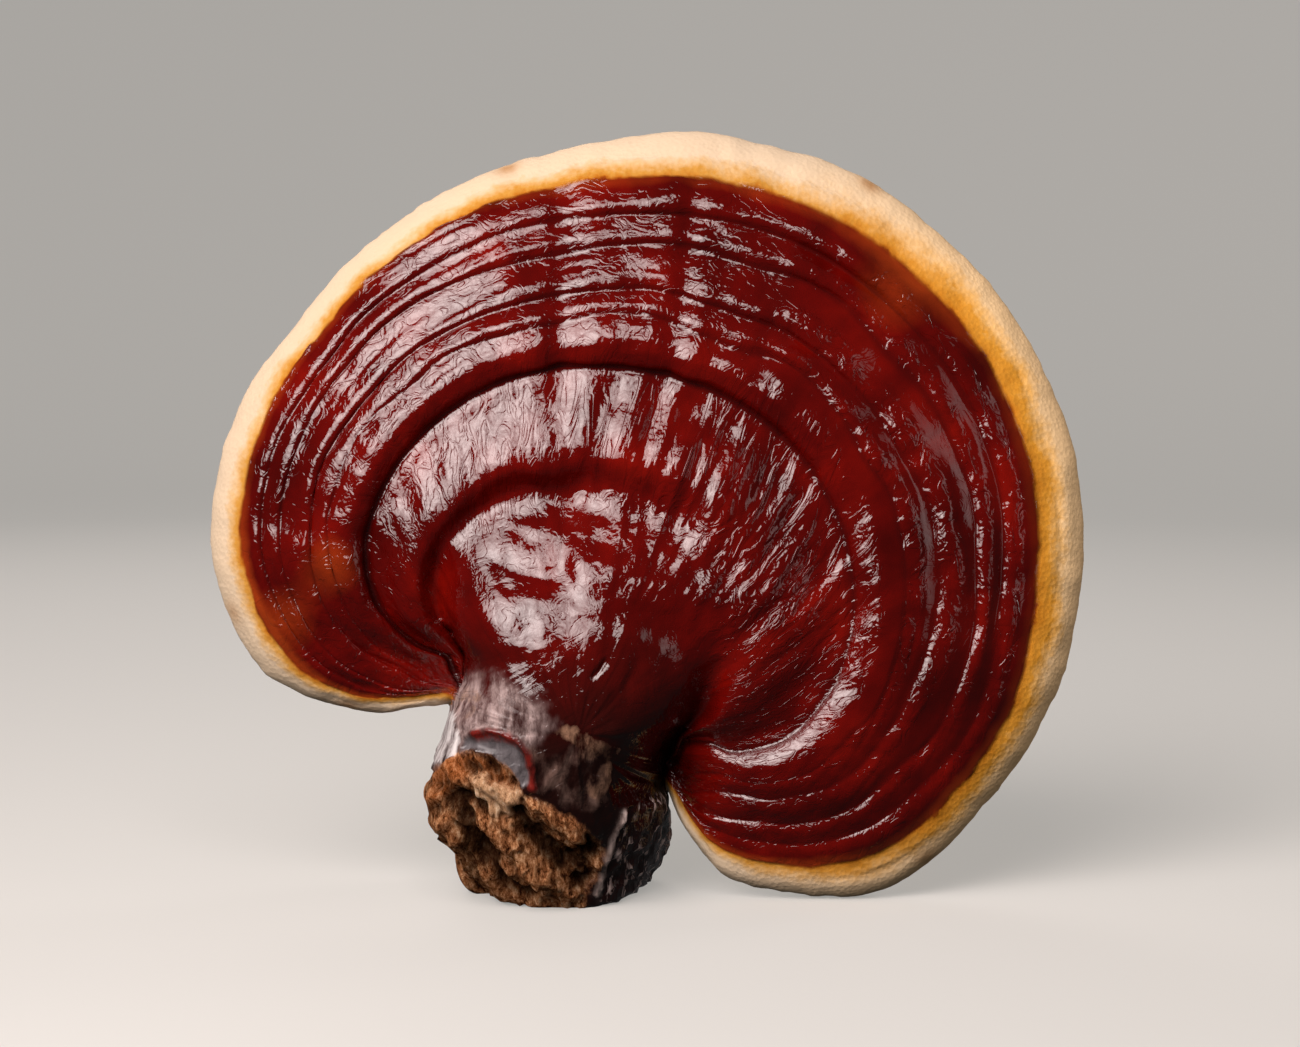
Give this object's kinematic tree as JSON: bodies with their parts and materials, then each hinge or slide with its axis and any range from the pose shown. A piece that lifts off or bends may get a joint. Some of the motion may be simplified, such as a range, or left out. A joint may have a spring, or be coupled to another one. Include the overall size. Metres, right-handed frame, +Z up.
{
  "type": "reishi mushroom",
  "caption": "Dried reishi bracket mushroom with a ringed lacquered cap, a pale rim and a short side stem that ends in a torn foot.",
  "frame": {"origin": "centre of the foot's flat cut, which the mushroom stands on", "axes": "+Z up, +X along the cap's width to the right of the stem, -Y out of the lacquered face"},
  "size_m": [0.1501, 0.0459, 0.131],
  "materials": {
    "lacquered_reishi": "woody flesh under a glossy maroon lacquered crust, with a matt cream margin and pore surface and a bare brown torn foot"
  },
  "bodies": {
    "root": {"fruiting_body": "lacquered_reishi"}
  },
  "joints": []
}
